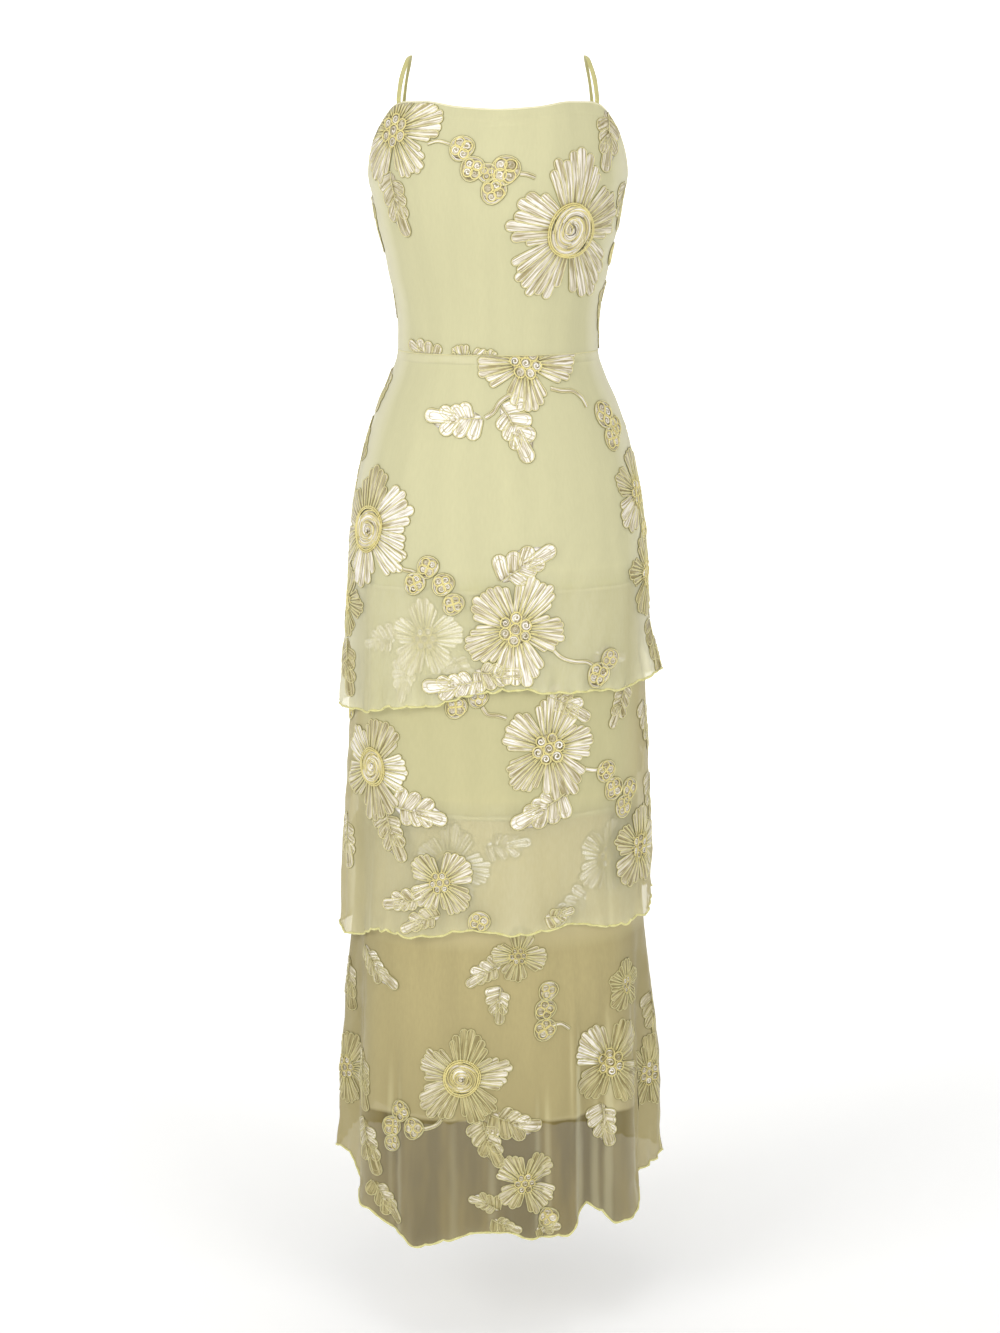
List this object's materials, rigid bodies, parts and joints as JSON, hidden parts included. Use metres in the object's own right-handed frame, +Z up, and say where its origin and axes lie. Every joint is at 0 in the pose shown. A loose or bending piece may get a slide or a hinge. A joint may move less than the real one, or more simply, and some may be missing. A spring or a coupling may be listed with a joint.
{
  "type": "maxi dress",
  "caption": "Sleeveless worn-form maxi dress with spaghetti straps, straight neckline, fitted lined bodice, slip skirt and overlapping sheer embroidered flounces.",
  "frame": {"origin": "midway between the tops of the two shoulder straps, where the wearer's shoulders carry the dress", "axes": "+Z up along the body, the dress faces -Y, +X is to the right when looking at its front"},
  "size_m": [0.3688, 0.2832, 1.3021],
  "materials": {
    "mesh": "sheer fine knitted mesh, pale pistachio, matt",
    "lining": "smooth opaque jersey, pistachio",
    "strap": "turned jersey tube, pressed flat",
    "ribbon": "satin tape, cream",
    "thread": "lustrous rayon thread, lime"
  },
  "bodies": {
    "root": {"bodice_front": "mesh", "bodice_back": "mesh", "bodice_lining_front": "lining", "bodice_lining_back": "lining", "skirt_lining_front": "lining", "skirt_lining_back": "lining", "tier1_front": "mesh", "tier1_back": "mesh", "tier2_front": "mesh", "tier2_back": "mesh", "tier3_front": "mesh", "tier3_back": "mesh", "strap_left": "strap", "strap_right": "strap"}
  },
  "joints": []
}
